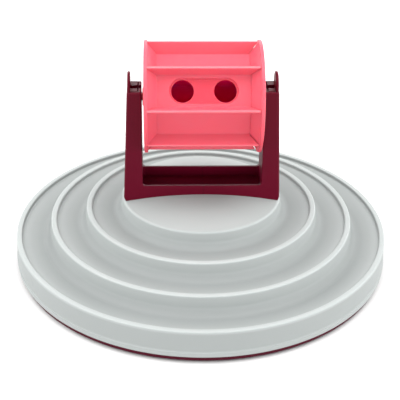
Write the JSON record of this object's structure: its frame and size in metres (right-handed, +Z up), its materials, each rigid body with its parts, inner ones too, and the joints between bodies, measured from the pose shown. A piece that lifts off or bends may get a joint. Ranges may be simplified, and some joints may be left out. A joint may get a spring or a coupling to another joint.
{
  "type": "cat puzzle feeder",
  "caption": "Round terraced food tray with ring-shaped trenches, and a stand on its domed middle that carries a paddled treat drum which a cat spins with its paw.",
  "frame": {"origin": "middle of the footprint on the table, under the centre of the round tray", "axes": "+Z up; X along the drum's axle, with the drum's cap at +X; the treat holes look towards -Y at rest"},
  "size_m": [0.3, 0.3, 0.1829],
  "materials": {
    "tray_grey": "satin",
    "maroon_plastic": "satin",
    "coral_plastic": "satin",
    "foot_rubber": "matte",
    "screw_steel": "zinc plated"
  },
  "bodies": {
    "base": {"base_tray": "tray_grey", "base_plate": "maroon_plastic", "rubber_foot_1": "foot_rubber", "rubber_foot_2": "foot_rubber", "rubber_foot_3": "foot_rubber", "rubber_foot_4": "foot_rubber", "rubber_foot_5": "foot_rubber", "rubber_foot_6": "foot_rubber", "plate_screws": "screw_steel", "stand": "maroon_plastic", "stand_screws": "screw_steel"},
    "drum": {"drum_body": "coral_plastic", "drum_cap": "coral_plastic"}
  },
  "joints": [
    {"name": "drum_spin", "type": "hinge", "parent": "base", "child": "drum", "pos_m": [0, 0, 0.1399], "axis": [1, 0, 0], "continuous": true}
  ]
}
